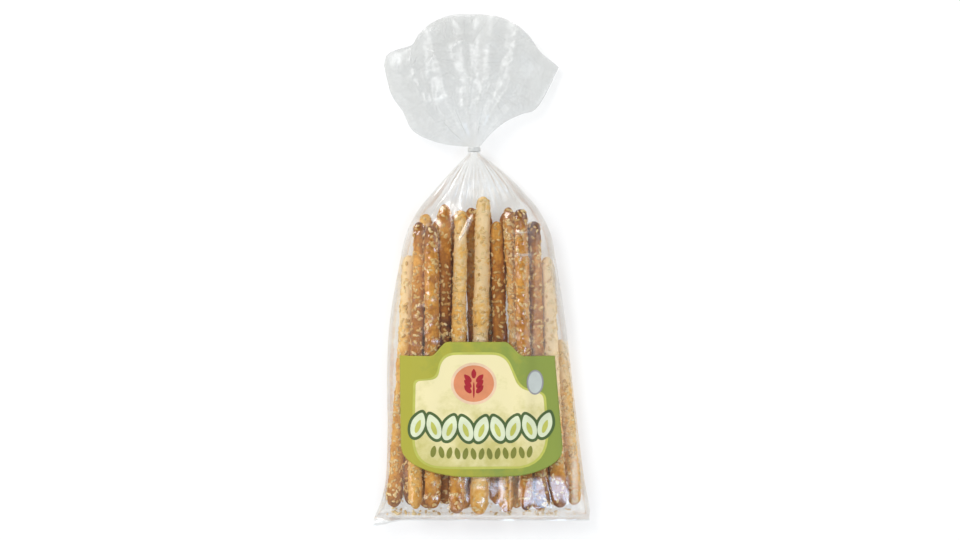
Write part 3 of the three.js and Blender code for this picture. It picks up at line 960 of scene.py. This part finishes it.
def weld_ring(ring, share):
    """The welded edge beyond the seal's root. It sticks out further at the left corner."""
    moved = ring.copy()
    ear = smoothstep(-ring[:, 0], 70 - EAR_WIDTH, 70) * share
    moved[:, 0] -= EAR_REACH * ear
    moved[:, 1] = lerp(SEAL_ROOT, SEAL_EDGE, share) - EAR_DROP * ear
    flat = ring[:, 2].mean() + 0.25 * np.sin(ring[:, 0] * 0.21) * share
    layers = flat + 0.3 * np.sign(ring[:, 2] - FOLD_HEIGHT)
    moved[:, 2] = lerp(ring[:, 2], layers, min(1, 1.5 * share))
    return moved


# ---- The flared top ----

def tail_plan(reach, v):
    """Points of the flared top, seen from above, at shares of its length and of its width."""
    neck = np.stack([NECK_X + NECK_RADIUS * across(v), np.full(v.shape, NECK_END)], -1)
    point = lerp(neck, smooth_path(FREE_EDGE, v), reach[..., None])
    for fold, share in ((LEFT_FOLD, (1 - v) ** 2), (RIGHT_FOLD, v ** 2)):
        straight = lerp(*np.array([fold[0], fold[-1]]), reach[..., None])
        point = point + (smooth_path(fold, reach) - straight) * share[..., None]
    return point


def tail_layer(reach, v, front):
    """One layer of the flared top's film: its points, each with the crest lines in it."""
    sign, seed, lobes = (1, 40, 5) if front else (-1, 60, 4)
    uneven = v + 0.018 * np.sin(TURN * 3 * v) + 0.012 * np.sin(TURN * lobes * v)
    pleat = np.sin(TURN * 7 * uneven)
    tuck = (1.05 + 0.35 * np.sin(TURN * 2.7 * v + seed)) * between(reach, (0.02, 0.15), (0.2, 0.8))
    hem = 1 - 0.012 * (1 + np.sin(TURN * 2.3 * v + 1)) * np.sin(math.pi * v) if front else 1
    plan = tail_plan(reach * hem, np.clip(uneven + tuck * pleat / (TURN * 7), 0, 1))
    x, y = plan[..., 0], plan[..., 1]
    arch = np.sqrt(np.maximum(0, 1 - across(v) ** 2))
    middle = NECK_Z - 3.4 * reach + TAIL_WAVE * reach ** 1.5 * np.sin(TURN * (1.6 * v + 0.05))
    gathered = NECK_RADIUS * (1 - reach)
    puff = TAIL_PUFF * np.sin(math.pi * reach ** 0.8) * (1 if front else 0.3)
    broad = smoothstep(reach, 0, 0.4) * (1.1 - 0.8 * reach) * zigzag(v, 13, seed)
    fine = np.minimum(1, reach * 6) * (1 - smoothstep(reach, 0.2, 0.9)) * zigzag(v, 37, seed + 1)
    rise = np.sin(np.minimum(1, reach * 1.6) * math.pi / 2)
    height = middle + sign * arch * (gathered + puff + TAIL_MOUTH * reach)
    height = height + arch * (broad + 0.55 * fine + 0.7 * rise * pleat)
    crossing, lines = tents(x, y, (-62, 84), (50, 166), TAIL_TENTS, seed + 2)
    shown = arch ** 0.5 * smoothstep(reach, 0.08, 0.3)
    height = height + sign * shown * 0.8 * crossing
    if front:
        height = height + shown * tail_creases(x, y)
    return np.stack([x, y, np.maximum(height, 0.4), shown * lines], -1)


def make_tail(material):
    reach = np.linspace(0, 1, TAIL_ROWS)[:, None] ** 1.15
    layers = [tail_layer(*np.broadcast_arrays(reach, v), front)
              for v, front in zip(two_layers(*TAIL_COLUMNS), (True, False))]
    points = np.concatenate(layers, axis=1)
    # More veil towards the free edge and less near the neck: the flared top is darker at its mouth and
    # lighter by the neck.
    reach_veil = 0.08 * smoothstep(reach, 0.6, 0.95) - 0.14 * (1 - smoothstep(reach, 0.25, 0.65))
    # Painted glints: the veil is cleared along the creases, so the white floor shows through them as
    # bright streaks.
    painted_glints = 0.4 * tail_creases(points[..., 0], points[..., 1])
    # The tents' crest lines veil the film: partly the real whitening of creased film, partly painted
    # glints.
    veil = 0.4 * points[..., 3] + reach_veil - painted_glints
    return film_piece("bag_tail", points[..., :3], veil, material)


# ---- The label ----

def label_sides(y):
    """The label's middle, and its width as a share of its mean width, at places up it."""
    up = (y - LABEL_BOTTOM) / (LABEL_SHOULDER - LABEL_BOTTOM)
    return lerp(LABEL_MIDDLE_LOW, LABEL_MIDDLE_HIGH, up), 1 + LABEL_SPREAD * (1 - 2 * up)


def label_edges(x):
    """The label's lower and upper edges at places across it."""
    offset = np.abs(x - LABEL_AXIS)
    from_corner = np.clip((offset - LABEL_HALF_WIDTH + LABEL_CORNER[0]) / LABEL_CORNER[0], 0, 1)
    low = LABEL_BOTTOM + LABEL_CORNER[1] * (1 - np.sqrt(1 - from_corner ** 2))
    arch = 1 - smoothstep(offset, LABEL_ARCH_FLAT, LABEL_ARCH_FOOT)
    return low, LABEL_SHOULDER + LABEL_ARCH_RISE * arch


def in_label(x, y, margin):
    """1 well inside the label and 0 outside it, with a soft edge of a margin's width."""
    low, high = label_edges(x)
    middle, spread = label_sides(y)
    inside = np.minimum(y - low, high - y)
    inside = np.minimum(inside, LABEL_HALF_WIDTH * spread - np.abs(x - middle))
    return smoothstep(inside, -margin, 0)


def make_label(film, material):
    """The label's paper, a thin slab that lies on the film."""
    offset = np.linspace(-LABEL_HALF_WIDTH, LABEL_HALF_WIDTH, LABEL_COLUMNS)[None]
    low, high = label_edges(offset + LABEL_AXIS)
    y = lerp(low, high, np.linspace(0, 1, LABEL_ROWS)[:, None])
    middle, spread = label_sides(y)
    x = middle + offset * spread
    under = sample(film, x, y) + LABEL_LIFT
    top = np.stack([x, y, under + LABEL_THICKNESS], -1)
    bottom = np.stack([x, y, under], -1)[:, ::-1]
    points = np.concatenate([top, bottom], axis=1).reshape(-1, 3)
    around = 2 * LABEL_COLUMNS
    ring = np.arange(LABEL_COLUMNS - 1)
    lower = np.stack([ring + 1, ring, around - 1 - ring, around - 2 - ring], -1)
    upper = (LABEL_ROWS - 1) * around + lower[:, [1, 0, 3, 2]]
    return mesh_object("label_paper", points, material,
                       grid_faces(LABEL_ROWS, around), lower, upper)


def inked(name, film, shapes, layer, material):
    """Printed shapes, each a fan of rings from its middle to its outline, laid on the label."""
    points, faces, start = [], [], 0
    for centre, outline in shapes:
        reach = outline - np.array(centre)
        rings = max(3, int(np.linalg.norm(reach, axis=1).max() / PRINT_STEP))
        shares = np.concatenate([[0.02], np.arange(1, rings + 1)]) / rings
        x, y = np.moveaxis(centre + shares[:, None, None] * reach, -1, 0)
        z = sample(film, x, y) + LABEL_LIFT + LABEL_THICKNESS + INK * layer
        points.append(np.stack([x, y, z], -1).reshape(-1, 3))
        faces.append(grid_faces(rings + 1, len(outline), start=start))
        start += x.size
    return mesh_object(name, np.concatenate(points), material, np.concatenate(faces))


def oval(centre, width, height, turn=0.0, point=0.0, count=40):
    """An ellipse, or a seed's outline where point draws one end out. Returns its middle too."""
    angle = np.arange(count) * TURN / count
    narrow = 1 - point * np.clip(np.sin(angle), 0, 1) ** 2
    x, y = width / 2 * np.cos(angle) * narrow, height / 2 * np.sin(angle)
    return centre, centre + np.stack(rotated(x, y, math.radians(turn)), -1)


def rounded(corners, spacing=0.9):
    """A closed outline through corners given as (x, y, radius), with each corner rounded."""
    here, radius = np.split(np.array(corners)[:, None], [2], axis=-1)
    into, out = (unit(np.roll(here, way, 0) - here) for way in (1, -1))
    t = np.linspace(0, 1, 9)[:, None]
    path = (here + radius * ((1 - t) ** 2 * into + t ** 2 * out)).reshape(-1, 2)
    path = np.concatenate([path, path[:1]])
    length = np.linalg.norm(np.diff(path, axis=0), axis=1).sum()
    return along_polyline(path, np.linspace(0, 1, int(length / spacing), endpoint=False))


def ear_of_grain(middle):
    """Grains in pairs up a stem, with one at the top."""
    x, y = middle
    grains = [oval((x + side * 3.9, y - 3.6 + 3.5 * k), 3.4, 6.6, -42 * side, 0.5, 24)
              for k in range(3) for side in (-1, 1)]
    return grains + [oval((x, y + 6.4), 3.2, 6.2, 0, 0.5, 24), oval((x, y - 4.2), 1.2, 10.4, 0, 0, 16)]


def print_row(base, reach, count, turn, width, height, *shape):
    """A row of like shapes on the wide arc, turned one way and the other by turns."""
    turns = turn * (-1) ** np.arange(1, count + 1)
    return [oval((x, base + x ** 2 / (2 * ROW_RADIUS)), width, height, turned, *shape)
            for x, turned in zip(np.linspace(-reach, reach, count), turns)]


def make_print(film):
    """The label's print: fields of colour and rows of plain seed and dot shapes."""
    panel = rounded(PANEL)
    reach = np.linalg.norm(panel - PANEL_CENTRE, axis=1)[:, None]
    border = PANEL_CENTRE + (panel - PANEL_CENTRE) * (1 + PANEL_BORDER / reach)
    seeds = (41, 9, 20)  # reach, count and turn of the row of seeds
    ink = {name: ink_material(f"ink_{name}", colour) for name, colour in INK_COLOURS.items()}
    ink["cream"] = ink_material("ink_cream", (0.55, 0.50, 0.18), (0.79, 0.71, 0.41), "Y", -106)
    layers = [
        ("border", [(PANEL_CENTRE, border)], 1, "lime"),
        ("panel", [(PANEL_CENTRE, panel)], 2, "cream"),
        ("seed_outlines", print_row(SEED_ROW, *seeds, 12.4, 20.5, 0.3), 3, "leaf"),
        ("seeds", print_row(SEED_ROW, *seeds, 8.8, 16.6, 0.4), 4, "white"),
        ("seed_cores", print_row(SEED_ROW - 1, *seeds, 3.2, 9.0, 0.5, 24), 5, "lime"),
        ("dots", print_row(DOT_ROW, 31, 13, 12, 3.6, 7.6, 0.3, 24), 3, "olive"),
        ("emblem_edge", [oval(EMBLEM, 29.5, 27, 0, 0, 64)], 3, "rose"),
        ("emblem", [oval(EMBLEM, 26, 23.5, 0, 0, 64)], 4, "salmon"),
        ("grains", ear_of_grain(EMBLEM), 5, "red"),
        ("spot_edge", [oval(SPOT, 11, 16)], 3, "grey"),
        ("spot", [oval(SPOT, 9, 14)], 4, "lavender"),
    ]
    return [inked(f"print_{name}", film, shapes, layer, ink[colour])
            for name, shapes, layer, colour in layers]


# ---- The tie ----

def make_tie(material):
    """A narrow band round the neck, wound a little past a full turn."""
    angle = np.linspace(0, TURN * TIE_TURNS, TIE_STEPS)[:, None] + TIE_START
    lap = smoothstep(angle, TIE_START + TURN * 0.95, TIE_START + TURN * 1.02)
    inner = TIE_INNER + TIE_LAP * lap
    wide = TIE_HALF_WIDTH + 0.08 * np.sin(3 * angle)
    section = np.array([(0, -1), (0.22, -1), (0.3, -0.8), (0.3, 0.8), (0.22, 1), (0, 1)])
    radius = inner + section[:, 0] * 1.1
    y = (NECK_START + NECK_END) / 2 + section[:, 1] * wide + 0.25 * (angle / TURN - 0.5)
    points = np.stack([NECK_X + radius * np.cos(angle), y, NECK_Z + radius * np.sin(angle)], -1)
    rows, columns = points.shape[:2]
    end = np.arange(columns)
    return mesh_object("tie_band", points.reshape(-1, 3), material,
                       grid_faces(rows, columns), [end[::-1], (rows - 1) * columns + end])


# ---- Putting it together ----

def add(piece, node):
    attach(piece, "root")
    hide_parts(node)


def add_contents():
    """Breadsticks, seeds and crumbs. Returns the points that the film lies on."""
    bread, sesame = bread_material(), seed_material()
    sticks = place_sticks()
    for stick in sticks:
        add(make_stick(stick, bread), "bag")
    inside = [stick.skin.reshape(-1, 3) for stick in sticks]
    rows = sticks[:len(FRONT_STICKS)], sticks[len(FRONT_STICKS):]
    for name, row, seed in zip(("seeds_front", "seeds_back"), rows, (11, 12)):
        seeds, points = make_seeds(name, row, sesame, seed)
        add(seeds, "bag")
        inside.append(points)
    draw = np.random.default_rng(13)
    crumbs, loose = (loose_places(sticks, count, draw) for count in (CRUMBS, LOOSE_SEEDS))
    crumbs = make_loose_bits("crumbs", crumbs, CRUMB_SIZE, 0.25, "toast", (-0.3, 0.2), bread, draw)
    loose = make_loose_bits("loose_seeds", loose, SEED_SIZE, 0.0, "shade", (0.4, 1.0), sesame, draw)
    add(crumbs, "bag")
    add(loose, "bag")
    return np.concatenate(inside)


def build():
    set_camera()
    set_stage()
    film = drape(add_contents())
    clear = film_material("clear_film", (0.955, 0.96, 0.955), 0.03, 0.2, 1.0)
    gathered = film_material("gathered_film", (0.922, 0.930, 0.93), 0.39, 0.24, 0.30)
    add(make_body_film(film, clear), "bag")
    add(make_tail(gathered), "bag")
    paper = ink_material("ink_green", (0.39, 0.37, 0.05), (0.24, 0.30, 0.06))
    for piece in [make_label(film, paper), *make_print(film)]:
        add(piece, "label")
    add(make_tie(band_material()), "tie")


build()
